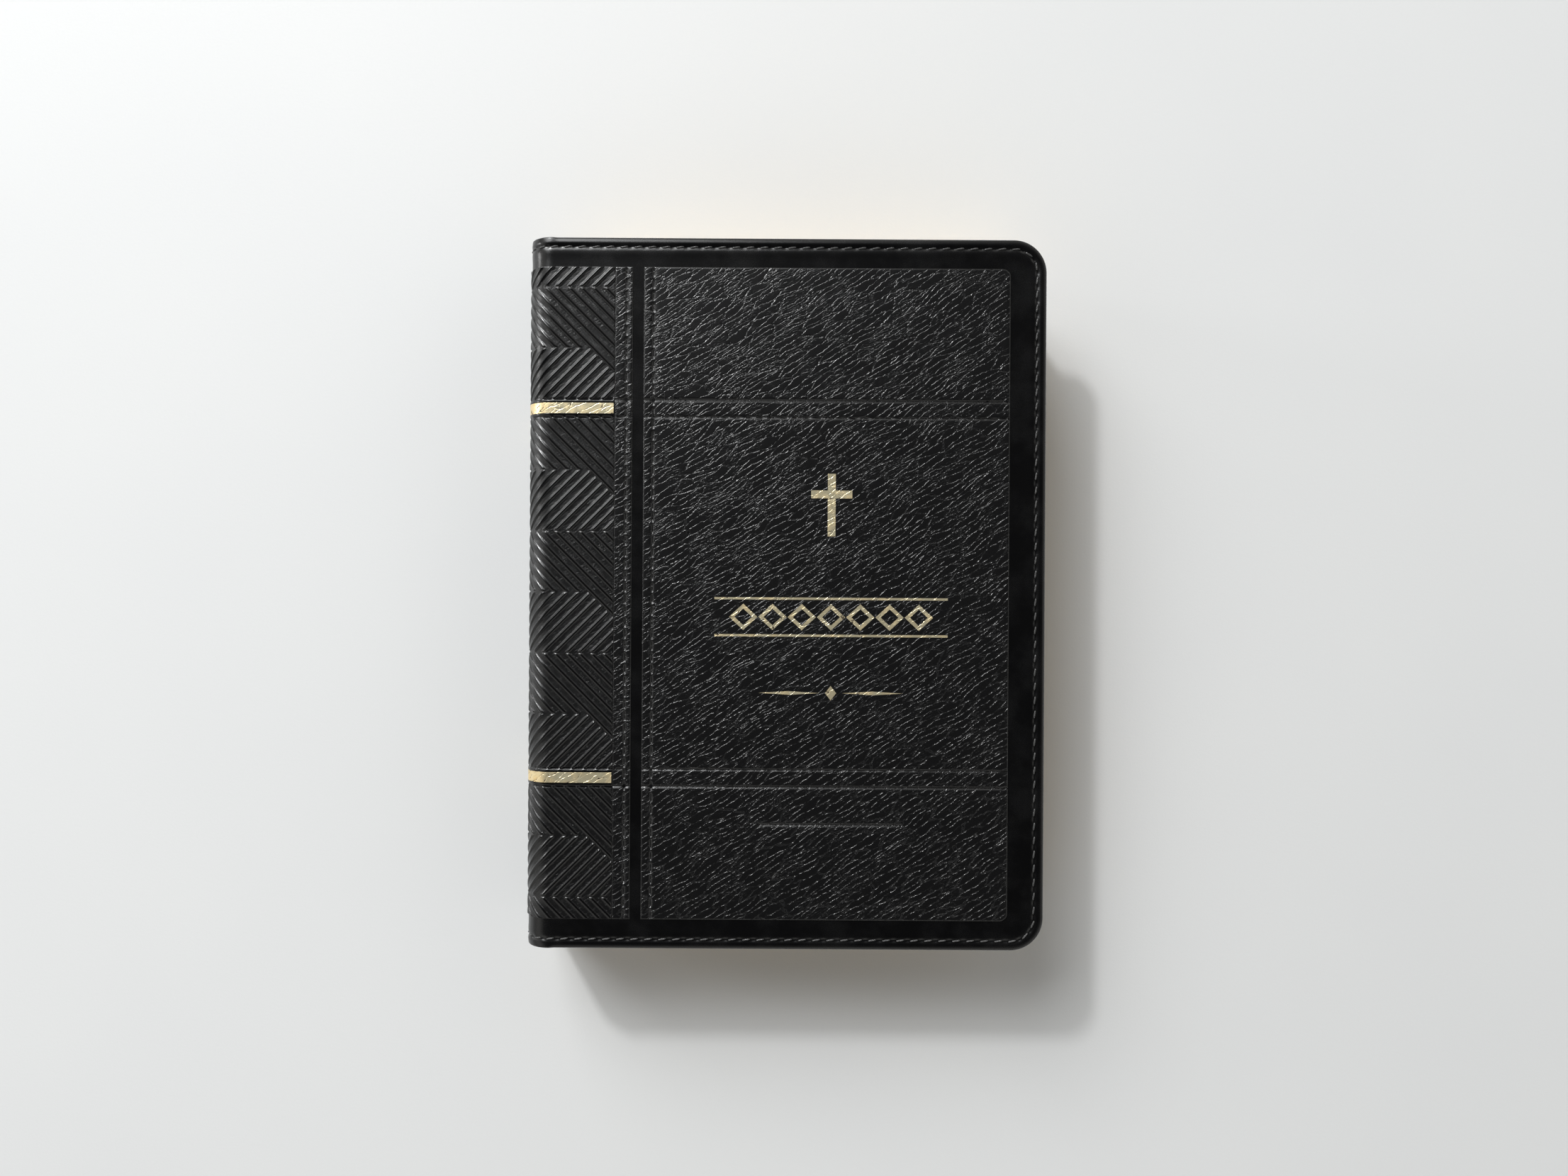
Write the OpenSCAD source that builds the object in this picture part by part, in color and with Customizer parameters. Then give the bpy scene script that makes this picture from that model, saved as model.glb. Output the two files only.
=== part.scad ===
// A large-print bible bound in soft leather over thin boards, with a ribbed spine.
// It lies on its back cover: +X is the fore-edge, +Y is the head and +Z is the front cover.
// The origin is on the resting face, in the middle of the book.

/* [Book] */
// Width of the closed book from spine to fore-edge
book_w = 158; // [120:1:200]
// Height of the book from tail to head
book_h = 216; // [170:1:270]
// Thickness of the closed book over both covers
book_t = 37; // [29:0.5:48]

/* [Covers] */
// Thickness of the cover leather
leather_t = 1.0; // [0.7:0.1:1.3]
// Thickness of the stiff board inside each cover
board_t = 1.0; // [0.7:0.1:1.6]
// Thickness of the pasted endpaper, and of the leather that is turned in around it
endpaper_t = 0.3; // [0.2:0.05:0.5]
// Height of the raised grained and ribbed panels above the smooth border
emboss_h = 0.4; // [0.25:0.05:0.5]
// Radius of the two fore-edge corners
corner_r = 10; // [7:0.5:14]
// Width of the leather turned in on the inside of each cover
turn_in_w = 5; // [3:0.5:6]
// Width of the leather that wraps the edges of each board
edge_wrap_w = 1.2; // [0.8:0.1:2]

/* [Spine] */
// Radius of the rounded edges where the spine meets the covers
spine_round = 8; // [6.5:0.5:10]
// Thickness of the stiffener card behind the spine leather
spine_card_t = 0.6; // [0.4:0.1:0.8]
// Thickness of the gauze glued over the page folds
gauze_t = 0.3; // [0.2:0.05:0.4]
// Thickness of the sewing tapes
tape_t = 0.2; // [0.1:0.05:0.3]
// Width of each sewing tape
tape_w = 12; // [8:1:16]
// Number of sewing tapes
tape_count = 4; // [2:1:5]
// Radius of the roll of each headband
headband_r = 0.9; // [0.6:0.1:1.2]

/* [Panels] */
// Smooth border above and below the raised panels
border_end_w = 9; // [7:0.5:14]
// Smooth border along the fore-edge
border_fore_w = 11; // [8:0.5:15]
// Width of the ribbed band on each cover, from the spine
rib_band_w = 27; // [18:0.5:32]
// Width of the grained strip beside the ribbed band
strip_w = 5.5; // [4:0.5:8]
// Width of the smooth groove between the strip and the grained panel
groove_w = 3.2; // [2:0.2:6]
// Radius of the grained panel's corners on the fore-edge side
panel_corner_r = 2.4; // [1:0.2:6]
// Distance of the line pressed along each edge that faces the groove
edge_line_inset = 2.5; // [1.5:0.1:3]
// Width of the lines pressed into the panels
line_w = 0.6; // [0.4:0.1:1]
// Depth of the lines pressed into the panels
line_depth = 0.2; // [0.1:0.05:0.2]

/* [Raised bands] */
// Distance from the head and tail to the middle of each raised band
band_inset = 52; // [44:1:60]
// Distance between the two lines that mark a raised band
band_h = 5.2; // [4.6:0.2:8]
// Height of the gold foil bar in each raised band
bar_h = 3.2; // [2:0.2:4]

/* [Gold foil] */
// Thickness of the foil
foil_t = 0.08; // [0.05:0.01:0.1]
// Depth to which the foil is pressed into the leather
foil_press = 0.1; // [0.1:0.01:0.15]
// Distance of the foil ornaments' middle line from the spine
ornament_x = 93; // [85:1:100]
// Distance from the head to the middle of the cross
cross_from_head = 81; // [74:1:88]
// Height of the cross
cross_h = 19; // [14:1:22]
// Width of the cross
cross_w = 12.5; // [8:0.5:18]
// Width of the cross's arms
cross_arm_w = 2.4; // [1.6:0.2:3.4]
// Distance from the head to the middle of the lozenge border
lozenge_from_head = 115; // [106:1:122]
// Number of lozenges in the border
lozenge_count = 7; // [3:2:9]
// Width of each lozenge
lozenge_w = 8.6; // [6:0.2:8.8]
// Height of each lozenge
lozenge_h = 8; // [5:0.5:10]
// Width of each lozenge's line
lozenge_line_w = 1.1; // [0.8:0.1:1.6]
// Width of the rules above and below the lozenges
rule_w = 0.7; // [0.4:0.1:1.2]
// Distance from the lozenges' tips to each rule
rule_gap = 1.6; // [1:0.2:3]
// Distance from the head to the small divider
divider_from_head = 138; // [132:1:144]
// Length of the small divider
divider_l = 44; // [24:1:60]
// Distance from the head to the plain line pressed below the raised band
blind_from_head = 178; // [174:1:186]

/* [Stitching] */
// Distance of the stitching from the edge
thread_inset = 3; // [2:0.1:4]
// Width of the thread
thread_w = 0.7; // [0.4:0.1:1]
// Height of the thread above the smooth border
thread_h = 0.22; // [0.1:0.02:0.24]

/* [Pages] */
// Number of sewn sections in each half of the pages
section_count = 10; // [6:1:12]
// Distance of the pages from the head and tail of the covers
page_end_inset = 4.5; // [3.6:0.1:6]
// Distance of the pages from the fore-edge of the covers
page_fore_inset = 5; // [3:0.5:7]
// Radius of the pages' fore-edge corners
page_corner_r = 7; // [4:0.5:10]
// Thickness of the loose endpaper at the front and back of the pages
flyleaf_t = 0.2; // [0.1:0.05:0.4]

/* [Fits] */
// Gap between the pages and each cover
page_gap = 0.15; // [0.1:0.05:0.3]
// Gap between the two halves of the pages
split_gap = 0.1; // [0.05:0.05:0.3]
// Gap between the hinge line and the page folds
fold_gap = 0.2; // [0.15:0.05:0.4]
// Gap between a headband and the pages
headband_gap = 0.3; // [0.2:0.05:0.5]
// Gap between the hinge cord and the leather on both sides of it
hinge_gap = 0.35; // [0.3:0.05:0.5]
// Gap between curved layers, and around each board
layer_gap = 0.04; // [0.02:0.01:0.06]

/* [Hidden] */
$fn = 72;
SECTIONS = [1 : section_count];

black_leather = [0.07, 0.07, 0.075];
rib_leather = [0.12, 0.12, 0.125];
gold_foil = [0.83, 0.68, 0.36];
thread_grey = [0.32, 0.32, 0.33];
paper_white = [0.93, 0.91, 0.84];
page_gold = [0.8, 0.67, 0.4];
board_grey = [0.62, 0.6, 0.55];

x_spine = -book_w / 2;
x_fore = book_w / 2;
leather_z = book_t - emboss_h;
board_z = leather_z - leather_t;
paste_z = board_z - board_t;
cover_z = paste_z - endpaper_t;
cover_t = book_t - cover_z;
mid_z = book_t / 2;

// The spine's rounded edges are quarter rings around these two lines.
arc_x = x_spine + spine_round;
arc_z = book_t - spine_round;
leather_r = spine_round - emboss_h;
leather_in_r = leather_r - leather_t;
leather_mid_r = leather_r - leather_t / 2;

// Each hinge line lies in the leather, halfway round a rounded edge.
hinge_inset = spine_round - leather_mid_r * sin(45);
hinge_x = x_spine + hinge_inset;
hinge_z = book_t - hinge_inset;
hinge_cord_r = leather_t * 0.55;
leather_end_a = asin((hinge_cord_r + hinge_gap) / leather_mid_r);
skin_end_a = leather_end_a + 3;

// Layers behind the spine leather, from outside to inside.
spine_card_x = x_spine + emboss_h + leather_t;
gauze_x = spine_card_x + spine_card_t;
tape_x = gauze_x + gauze_t;

panel_x = x_spine + rib_band_w + strip_w + groove_w;
panel_h = book_h - 2 * border_end_w;
strip_x = x_spine + rib_band_w;
band_y = book_h / 2 - band_inset;
foil_z = book_t - foil_press;

page_h = book_h - 2 * page_end_inset;
page_fore_x = x_fore - page_fore_inset;
fold_r = arc_x - hinge_x - fold_gap;
pages_low_z = cover_t + page_gap;
sections_low_z = pages_low_z + flyleaf_t;
half_top_z = mid_z - split_gap / 2;
section_t = (half_top_z - sections_low_z) / section_count;

gauze_h = page_h + 2 * headband_gap + 4 * headband_r;
headband_y = page_h / 2 + headband_gap + headband_r;
headband_l = book_t - 2 * spine_round + 5;
tape_pitch = page_h / (tape_count + 1);
sewing_thread_w = 0.4;

// Plan outline with two rounded corners on the fore-edge side.
module leaf_outline(x0, x1, h, r) {
    translate([x0, -h / 2])
        square([x1 - r - x0, h]);
    translate([x1 - 2 * r, r - h / 2])
        square([2 * r, h - 2 * r]);
    for (side = [-1, 1])
        translate([x1 - r, side * (h / 2 - r)])
            circle(r);
}

module leaf(x0, x1, z0, z1, h, r) {
    translate([0, 0, z0])
        linear_extrude(z1 - z0)
            leaf_outline(x0, x1, h, r);
}

// Turns the front of the book into its back.
module to_back() {
    translate([0, 0, book_t])
        mirror([0, 0, 1])
            children();
}

// Extrudes an X-Z profile along Y, with its middle at y.
module along_y(h, y = 0) {
    translate([0, y + h / 2, 0])
        rotate([90, 0, 0])
            linear_extrude(h)
                children();
}

// X-Z profile of a ring sector at the front rounded edge, between two angles from +X.
module edge_sector(r_out, r_in, a0, a1) {
    reach = 2 * r_out;
    am = (a0 + a1) / 2;
    translate([arc_x, arc_z])
        intersection() {
            difference() {
                circle(r_out);
                circle(r_in);
            }
            polygon([
                [0, 0],
                [reach * cos(a0), reach * sin(a0)],
                [reach * cos(am), reach * sin(am)],
                [reach * cos(a1), reach * sin(a1)]
            ]);
        }
}

// X-Z profile of a layer that runs from a cover round to its hinge line.
module cover_layer(x1, z_out, z_in, end_a, gap = 0) {
    translate([arc_x, z_in])
        square([x1 - arc_x, z_out - z_in]);
    edge_sector(z_out - arc_z, z_in - arc_z + gap, 90, 135 - end_a);
}

// X-Z profile of a layer that covers the spine between its two hinge lines.
module spine_layer(depth_out, depth_in, end_a, gap = 0) {
    translate([x_spine + depth_out, spine_round])
        square([depth_in - depth_out - gap, book_t - 2 * spine_round]);
    edge_sector(spine_round - depth_out, spine_round - depth_in + gap, 135 + end_a, 180);
    translate([0, book_t])
        mirror([0, 1])
            edge_sector(spine_round - depth_out, spine_round - depth_in + gap, 135 + end_a, 180);
}

module box(x0, x1, y0, y1, z0, z1) {
    translate([x0, y0, z0])
        cube([x1 - x0, y1 - y0, z1 - z0]);
}

// ---- Covers ----

module cover_leather() {
    color(black_leather) {
        difference() {
            leaf(arc_x, x_fore, cover_z, leather_z, book_h, corner_r);
            leaf(
                arc_x - 1, x_fore - edge_wrap_w, paste_z, board_z,
                book_h - 2 * edge_wrap_w, corner_r - edge_wrap_w
            );
            leaf(
                arc_x - 1, x_fore - turn_in_w, cover_z - 1, paste_z,
                book_h - 2 * turn_in_w, corner_r - turn_in_w
            );
        }
        along_y(book_h)
            edge_sector(leather_r, leather_in_r, 90, 135 - leather_end_a);
    }
}

module cover_board() {
    wrap = edge_wrap_w + layer_gap;
    color(board_grey)
        leaf(arc_x + 1, x_fore - wrap, paste_z, board_z, book_h - 2 * wrap, corner_r - wrap);
}

module cover_pastedown() {
    turn = turn_in_w + layer_gap;
    color(paper_white)
        leaf(arc_x + 1, x_fore - turn, cover_z, paste_z, book_h - 2 * turn, corner_r - turn);
}

module cover_rib_band() {
    color(rib_leather)
        difference() {
            along_y(panel_h)
                cover_layer(strip_x, book_t, leather_z, skin_end_a, layer_gap);
            for (side = [-1, 1])
                along_y(bar_h, side * band_y)
                    cover_layer(strip_x + 1, book_t + 1, foil_z, 0);
        }
}

module cover_foil_bars() {
    color(gold_foil)
        for (side = [-1, 1])
            along_y(bar_h, side * band_y)
                cover_layer(strip_x, foil_z + foil_t, foil_z, skin_end_a, layer_gap / 2);
}

module band_lines(x0, x1) {
    for (side = [-1, 1], edge = [-1, 1]) {
        y = side * band_y + edge * band_h / 2;
        box(x0, x1, y - line_w / 2, y + line_w / 2, book_t - line_depth, book_t + 1);
    }
}

module upright_line(x) {
    box(
        x - line_w / 2, x + line_w / 2, -panel_h / 2 - 1, panel_h / 2 + 1,
        book_t - line_depth, book_t + 1
    );
}

module cover_grain_strip() {
    color(black_leather)
        difference() {
            box(strip_x, strip_x + strip_w, -panel_h / 2, panel_h / 2, leather_z, book_t);
            upright_line(strip_x + strip_w - edge_line_inset);
            band_lines(strip_x - 1, strip_x + strip_w + 1);
        }
}

module cover_grain_panel() {
    difference() {
        leaf(panel_x, x_fore - border_fore_w, leather_z, book_t, panel_h, panel_corner_r);
        upright_line(panel_x + edge_line_inset);
        band_lines(panel_x - 1, x_fore);
    }
}

module cover_stitching() {
    outer = thread_inset - thread_w / 2;
    inner = thread_inset + thread_w / 2;
    color(thread_grey) {
        translate([0, 0, leather_z])
            linear_extrude(thread_h)
                difference() {
                    leaf_outline(arc_x, x_fore - outer, book_h - 2 * outer, corner_r - outer);
                    leaf_outline(arc_x - 1, x_fore - inner, book_h - 2 * inner, corner_r - inner);
                }
        for (side = [-1, 1])
            along_y(thread_w, side * (book_h / 2 - thread_inset))
                edge_sector(
                    leather_r + thread_h, leather_r + layer_gap, 90, 135 - skin_end_a
                );
    }
}

// ---- Foil ornaments on the front ----

module foil_place(from_head) {
    translate([x_spine + ornament_x, book_h / 2 - from_head])
        children();
}

module cross_shape() {
    arm_y = cross_h / 2 - cross_w / 2;
    translate([-cross_arm_w / 2, -cross_h / 2])
        square([cross_arm_w, cross_h]);
    translate([-cross_w / 2, arm_y - cross_arm_w / 2])
        square([cross_w, cross_arm_w]);
}

module lozenge(w, h) {
    polygon([[-w / 2, 0], [0, -h / 2], [w / 2, 0], [0, h / 2]]);
}

module lozenge_shape() {
    pitch = lozenge_w + lozenge_line_w / 4;
    half = (lozenge_count - 1) / 2;
    shrink = lozenge_line_w * norm([lozenge_w, lozenge_h]);
    rule_l = lozenge_count * pitch + lozenge_w;
    for (i = [-half : half])
        translate([i * pitch, 0])
            difference() {
                lozenge(lozenge_w, lozenge_h);
                lozenge(
                    lozenge_w - 2 * shrink / lozenge_h,
                    lozenge_h - 2 * shrink / lozenge_w
                );
            }
    for (side = [-1, 1])
        translate([-rule_l / 2, side * (lozenge_h / 2 + rule_gap) - rule_w / 2])
            square([rule_l, rule_w]);
}

module divider_shape() {
    centre_w = 3.4;
    for (side = [-1, 1])
        translate([side * (divider_l / 4 + centre_w / 2), 0])
            lozenge(divider_l / 2 - centre_w, rule_w * 1.6);
    lozenge(centre_w, centre_w * 1.3);
}

module pressed(from_head) {
    translate([0, 0, foil_z])
        linear_extrude(foil_press + 1)
            foil_place(from_head)
                children();
}

module foil_piece(from_head) {
    color(gold_foil)
        translate([0, 0, foil_z])
            linear_extrude(foil_t)
                foil_place(from_head)
                    children();
}

module foil_cross() {
    foil_piece(cross_from_head)
        cross_shape();
}

module foil_lozenges() {
    foil_piece(lozenge_from_head)
        lozenge_shape();
}

module foil_divider() {
    foil_piece(divider_from_head)
        divider_shape();
}

// ---- Front and back covers ----

module front_grain_panel() {
    color(black_leather)
        difference() {
            cover_grain_panel();
            pressed(cross_from_head)
                cross_shape();
            pressed(lozenge_from_head)
                lozenge_shape();
            pressed(divider_from_head)
                divider_shape();
            pressed(blind_from_head)
                translate([-divider_l / 2, -rule_w / 2])
                    square([divider_l, rule_w]);
        }
}

module back_grain_panel() {
    color(black_leather)
        to_back()
            cover_grain_panel();
}

// ---- Spine ----

module spine_leather() {
    color(black_leather)
        along_y(book_h)
            spine_layer(emboss_h, emboss_h + leather_t, leather_end_a);
}

module spine_rib_band() {
    color(rib_leather)
        difference() {
            along_y(panel_h)
                spine_layer(0, emboss_h, skin_end_a, layer_gap);
            for (side = [-1, 1])
                along_y(bar_h, side * band_y)
                    spine_layer(-1, foil_press, 0);
        }
}

module spine_foil_bars() {
    color(gold_foil)
        for (side = [-1, 1])
            along_y(bar_h, side * band_y)
                spine_layer(foil_press - foil_t, foil_press, skin_end_a, layer_gap / 2);
}

module spine_stitching() {
    color(thread_grey)
        for (side = [-1, 1])
            along_y(thread_w, side * (book_h / 2 - thread_inset))
                spine_layer(emboss_h - thread_h, emboss_h, skin_end_a, layer_gap);
}

// A flat layer behind the spine leather.
module spine_strip(x, t, y0, y1) {
    box(x, x + t, y0, y1, spine_round, book_t - spine_round);
}

module spine_card() {
    reach = book_h / 2 - edge_wrap_w;
    color(board_grey)
        spine_strip(spine_card_x, spine_card_t, -reach, reach);
}

module spine_gauze() {
    color([0.85, 0.84, 0.78])
        spine_strip(gauze_x, gauze_t, -gauze_h / 2, gauze_h / 2);
}

function tape_y(i) = (i - (tape_count + 1) / 2) * tape_pitch;

module sewing_tapes() {
    color([0.9, 0.88, 0.8])
        for (i = [1 : tape_count])
            spine_strip(tape_x, tape_t, tape_y(i) - tape_w / 2, tape_y(i) + tape_w / 2);
}

module sewing_thread() {
    kettle_y = page_h / 2 - tape_pitch / 3;
    beside_tape = tape_w / 2 + sewing_thread_w;
    color([0.95, 0.94, 0.9]) {
        for (i = [1 : tape_count], side = [-1, 1]) {
            y = tape_y(i) + side * beside_tape;
            spine_strip(tape_x, tape_t, y - sewing_thread_w / 2, y + sewing_thread_w / 2);
        }
        for (side = [-1, 1]) {
            y = side * kettle_y;
            spine_strip(tape_x, tape_t, y - sewing_thread_w / 2, y + sewing_thread_w / 2);
        }
    }
}

module headband(side) {
    color([0.82, 0.7, 0.42])
        translate([tape_x + headband_r, side * headband_y, mid_z])
            cylinder(h = headband_l, r = headband_r, center = true);
}

// ---- Pages ----

// X of the folds where a section's outer face is at height z, following the rounded spine.
function fold_x(z) =
    let (below = max(0, spine_round - z))
    arc_x - sqrt(max(0, fold_r * fold_r - below * below));

module hinge_cord() {
    web_r = (fold_r + 0.3) * sin(45);
    web_t = 0.3;
    color(black_leather) {
        along_y(book_h)
            translate([hinge_x, hinge_z])
                circle(hinge_cord_r);
        along_y(page_h)
            translate([arc_x, arc_z])
                rotate(135)
                    translate([web_r / sin(45), -web_t / 2])
                        square([leather_mid_r - web_r / sin(45), web_t]);
    }
}

module lower_section(i) {
    z0 = sections_low_z + (i - 1) * section_t;
    fold = fold_x(z0);
    color(page_gold)
        intersection() {
            leaf(fold, page_fore_x, z0, z0 + section_t, page_h, page_corner_r);
            along_y(page_h) {
                translate([fold + section_t / 2, z0 + section_t / 2])
                    circle(section_t / 2);
                translate([fold + section_t / 2, z0])
                    square([page_fore_x - fold, section_t]);
            }
        }
}

module lower_flyleaf() {
    color(paper_white)
        leaf(arc_x, page_fore_x, pages_low_z, sections_low_z, page_h, page_corner_r);
}

// ---- Nodes ----

to_back() cover_leather();  // back_leather
to_back() cover_board();  // back_board
to_back() cover_pastedown();  // back_pastedown
to_back() cover_rib_band();  // back_rib_band
to_back() cover_grain_strip();  // back_grain_strip
back_grain_panel();
to_back() cover_foil_bars();  // back_foil_bars
to_back() cover_stitching();  // back_stitching
cover_leather();  // front_leather
cover_board();  // front_board
cover_pastedown();  // front_pastedown
cover_rib_band();  // front_rib_band
cover_grain_strip();  // front_grain_strip
front_grain_panel();
cover_foil_bars();  // front_foil_bars
cover_stitching();  // front_stitching
foil_cross();
foil_lozenges();
foil_divider();
spine_leather();
spine_rib_band();
spine_foil_bars();
spine_stitching();
spine_card();
spine_gauze();
sewing_tapes();
sewing_thread();
headband(1);  // head_band
headband(-1);  // tail_band
to_back() hinge_cord();  // back_hinge_cord
lower_flyleaf();  // back_flyleaf
hinge_cord();  // front_hinge_cord
to_back() lower_flyleaf();  // front_flyleaf
for (i = SECTIONS) {
    lower_section(i);
    to_back() lower_section(i);
}
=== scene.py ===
import math
import random

import bmesh
import bpy
import numpy as np
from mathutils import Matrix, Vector


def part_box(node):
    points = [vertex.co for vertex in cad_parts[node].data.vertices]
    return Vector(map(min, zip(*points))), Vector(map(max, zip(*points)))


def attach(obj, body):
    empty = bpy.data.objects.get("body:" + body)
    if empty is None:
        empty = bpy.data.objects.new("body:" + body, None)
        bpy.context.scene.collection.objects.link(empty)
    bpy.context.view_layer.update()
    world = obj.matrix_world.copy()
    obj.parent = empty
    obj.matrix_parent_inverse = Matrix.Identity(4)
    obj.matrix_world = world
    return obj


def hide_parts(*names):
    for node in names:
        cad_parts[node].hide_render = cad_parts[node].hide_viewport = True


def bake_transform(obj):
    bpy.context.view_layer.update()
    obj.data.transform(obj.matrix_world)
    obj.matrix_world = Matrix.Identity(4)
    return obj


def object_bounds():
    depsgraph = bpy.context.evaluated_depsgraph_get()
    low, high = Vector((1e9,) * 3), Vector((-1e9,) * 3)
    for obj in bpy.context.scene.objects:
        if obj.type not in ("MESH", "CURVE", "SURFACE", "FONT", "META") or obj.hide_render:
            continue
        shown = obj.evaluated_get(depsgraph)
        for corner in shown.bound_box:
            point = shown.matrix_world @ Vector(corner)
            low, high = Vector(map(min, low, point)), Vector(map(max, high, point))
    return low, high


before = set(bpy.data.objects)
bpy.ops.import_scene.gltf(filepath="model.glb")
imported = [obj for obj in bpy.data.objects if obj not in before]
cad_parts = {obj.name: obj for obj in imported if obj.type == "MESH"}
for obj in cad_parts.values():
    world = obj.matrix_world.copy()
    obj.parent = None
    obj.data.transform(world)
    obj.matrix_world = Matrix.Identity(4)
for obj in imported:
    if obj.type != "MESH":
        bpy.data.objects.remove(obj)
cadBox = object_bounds()
print("frame loaded")

# Sizes, worked out from the frame. The maths below is in millimetres.

perMetre = 1000
weldGap = 0.002


def extent(node):
    return [np.array(corner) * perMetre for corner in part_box(node)]


bookLow, bookHigh = [np.array(corner) * perMetre for corner in cadBox]
bookH = bookHigh[1] - bookLow[1]
bookT = bookHigh[2]
spineX = bookLow[0]
foreX = bookHigh[0]
roundR = extent("spine_card")[0][2]  # radius of the rounded edges beside the spine
roundX = spineX + roundR
roundZ = bookT - roundR
halfSpine = bookT / 2 - roundR
roundLength = roundR * math.pi / 2
seamU = halfSpine + roundLength / 2  # the leather is cut into pieces at this line
flatU = halfSpine + roundLength  # the flat of the cover starts here

# Depths under the outermost face of the cover.
leatherDepth = bookT - extent("front_leather")[1][2]
boardDepth = bookT - extent("front_board")[1][2]
pasteDepth = bookT - extent("front_board")[0][2]
insideDepth = bookT - extent("front_leather")[0][2]


def coverU(x):
    return x - roundX + flatU


def smoothStep(value, low, high):
    t = np.clip((value - low) / (high - low), 0, 1)
    return t * t * (3 - 2 * t)


def hump(distance, width):
    return np.exp(-((distance / width) ** 2))


# The cover is one sheet wrapped round the spine: u runs from the middle of the spine towards
# the front's fore-edge, v runs from tail to head, and depth is measured inwards.
def wrap(u, v, depth):
    u, v, depth = np.broadcast_arrays(*np.atleast_1d(u, v, depth))
    turn = np.clip((u - halfSpine) / roundR, 0, math.pi / 2)
    reach = roundR - depth
    x = roundX - reach * np.cos(turn) + np.maximum(u - flatU, 0)
    z = bookT / 2 + np.minimum(u, halfSpine) + reach * np.sin(turn)
    return np.stack([x, v, z], axis=-1), np.stack([u, v, depth], axis=-1)


class Shape:
    def __init__(self):
        self.points = []
        self.sheet = []
        self.faces = []
        self.marks = []
        self.count = 0

    def add(self, points, sheet, faces, mark=0):
        self.points.append(points.reshape(-1, 3))
        self.sheet.append(sheet.reshape(-1, 3))
        self.faces += faces
        self.marks += [mark] * len(faces)
        self.count += self.points[-1].shape[0]

    # Quads through rows of points. Seen from outside, columns run to the right and rows run up.
    def grid(self, points, sheet, mark=0, flip=False):
        rows, columns = points.shape[-3:-1]
        blocks = points.reshape(-1, rows, columns, 3).shape[0]
        index = np.arange(blocks * rows * columns).reshape(blocks, rows, columns) + self.count
        corners = [index[:, :-1, :-1], index[:, :-1, 1:], index[:, 1:, 1:], index[:, 1:, :-1]]
        if flip:
            corners.reverse()
        quads = np.stack(corners, axis=-1).reshape(-1, 4)
        self.add(points, sheet, quads.tolist(), mark)

    def make(self, name, finishes, toBack=False, sharpDegrees=None):
        points = np.concatenate(self.points)
        sheet = np.concatenate(self.sheet)
        faces = self.faces
        if toBack:
            points = points * (1, 1, -1) + (0, 0, bookT)
            sheet = sheet * (-1, 1, 1)
            faces = [face[::-1] for face in faces]
        mesh = bpy.data.meshes.new(name)
        mesh.from_pydata((points / perMetre).tolist(), [], faces)
        place = mesh.attributes.new("sheet", "FLOAT_VECTOR", "POINT")
        place.data.foreach_set("vector", sheet.astype(np.float32).ravel())
        mesh.polygons.foreach_set("material_index", self.marks)
        mesh.polygons.foreach_set("use_smooth", [True] * len(faces))
        for finish in finishes:
            mesh.materials.append(finish)
        welded = bmesh.new()
        welded.from_mesh(mesh)
        bmesh.ops.remove_doubles(welded, verts=welded.verts, dist=weldGap / perMetre)
        welded.to_mesh(mesh)
        welded.free()
        if sharpDegrees:
            mesh.set_sharp_from_angle(angle=math.radians(sharpDegrees))
        piece = bpy.data.objects.new(name, mesh)
        bpy.context.scene.collection.objects.link(piece)
        return piece


class Wire:
    def __init__(self, finish, socket):
        self.finish = finish
        self.socket = socket

    def maths(self, operation, first, second):
        return self.finish.node("Math", {"operation": operation}, {0: first, 1: second})

    def __add__(self, other):
        return self.maths("ADD", self, other)

    def __radd__(self, other):
        return self.maths("ADD", other, self)

    def __rsub__(self, other):
        return self.maths("SUBTRACT", other, self)

    def __mul__(self, other):
        return self.maths("MULTIPLY", self, other)

    def __rmul__(self, other):
        return self.maths("MULTIPLY", other, self)


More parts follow.
